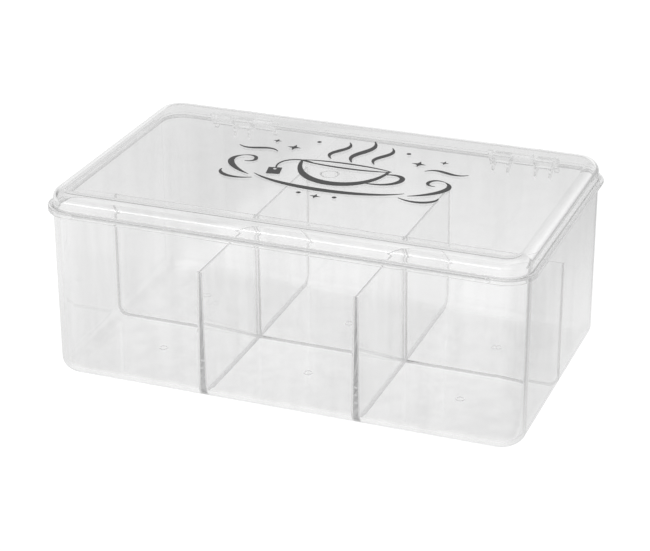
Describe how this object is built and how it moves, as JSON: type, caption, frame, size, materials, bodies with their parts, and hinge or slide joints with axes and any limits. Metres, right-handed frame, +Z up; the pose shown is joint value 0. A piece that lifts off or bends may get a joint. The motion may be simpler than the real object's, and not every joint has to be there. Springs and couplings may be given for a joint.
{
  "type": "tea bag organizer box",
  "caption": "Clear rectangular box divided into compartments for tea bags, with a shallow lid that swings up on clip hinges at the back.",
  "frame": {"origin": "centre of the tub's flat underside, on the surface that the box stands on", "axes": "+X along the length, to the right seen from the front; +Y towards the hinges; +Z up"},
  "size_m": [0.2326, 0.1458, 0.0922],
  "materials": {
    "clear_tub": "polished clear polystyrene",
    "clear_lid": "polished clear polystyrene",
    "ink": "printed ink"
  },
  "bodies": {
    "tub": {"tub": "clear_tub"},
    "lid": {"lid": "clear_lid", "lid_print": "ink"}
  },
  "joints": [
    {"name": "lid_hinge", "type": "hinge", "parent": "tub", "child": "lid", "pos_m": [0, 0.0726, 0.0804], "axis": [-1, 0, 0], "range_deg": [0, 105]}
  ]
}
